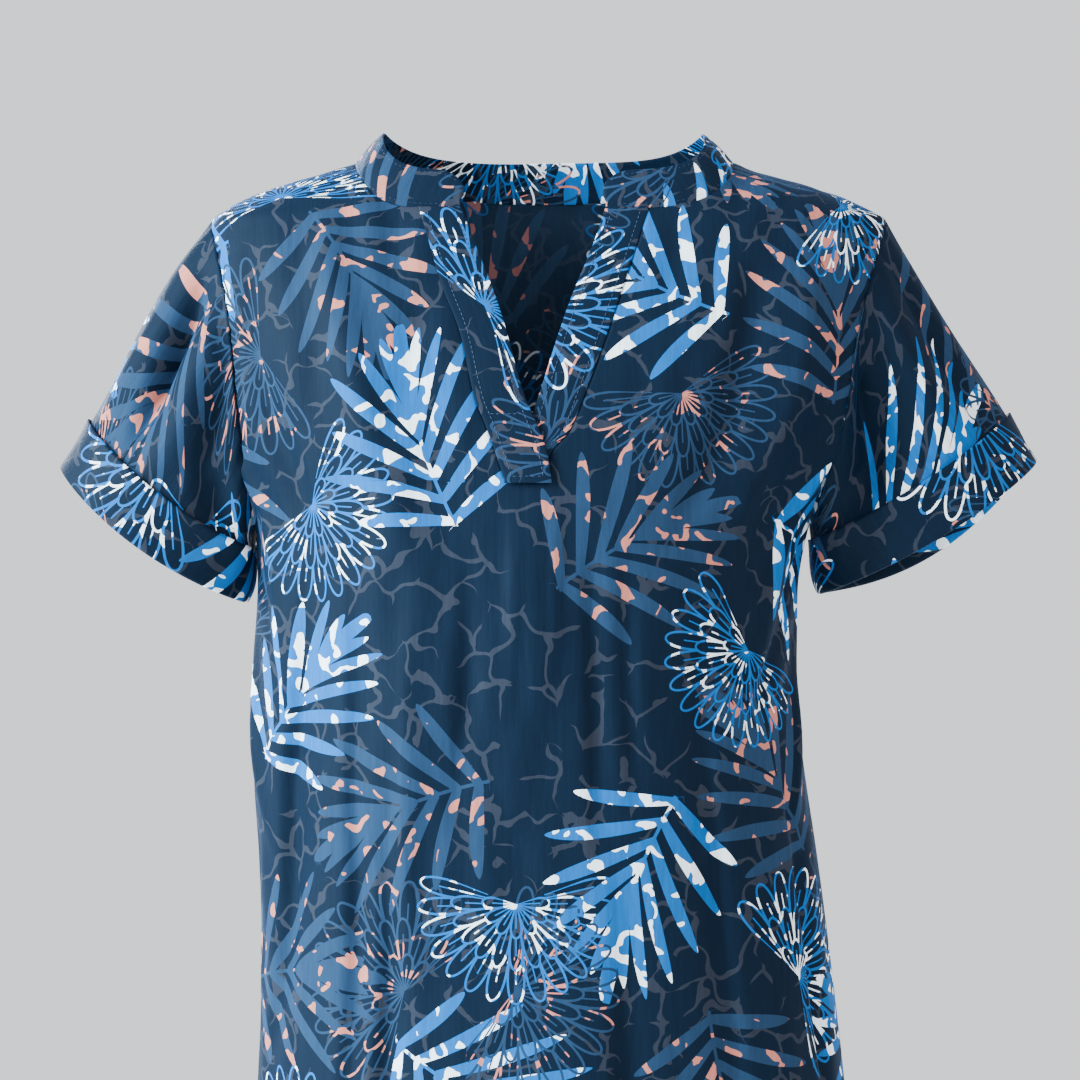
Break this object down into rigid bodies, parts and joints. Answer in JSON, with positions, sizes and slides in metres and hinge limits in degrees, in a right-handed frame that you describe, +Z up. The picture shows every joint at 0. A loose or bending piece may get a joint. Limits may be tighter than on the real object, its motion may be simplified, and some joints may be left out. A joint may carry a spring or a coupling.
{
  "type": "midi dress",
  "caption": "Hollow worn midi dress with a V placket, a low stand neckband and short cuffed sleeves, in navy leaf-printed cloth.",
  "frame": {"origin": "middle of the neck opening, at the height where the shoulder seams carry the dress", "axes": "+Z up, the dress's front faces -Y, +X to the wearer's left"},
  "size_m": [0.6422, 0.3165, 1.1055],
  "materials": {
    "printed_cloth": null,
    "trim_cloth": "the same printed woven cloth, folded double and pressed flat"
  },
  "bodies": {
    "root": {"front": "printed_cloth", "back": "printed_cloth", "sleeve_right": "printed_cloth", "sleeve_left": "printed_cloth", "cuff_right": "trim_cloth", "cuff_left": "trim_cloth", "neckband": "trim_cloth", "placket_right": "trim_cloth", "placket_left": "trim_cloth"}
  },
  "joints": []
}
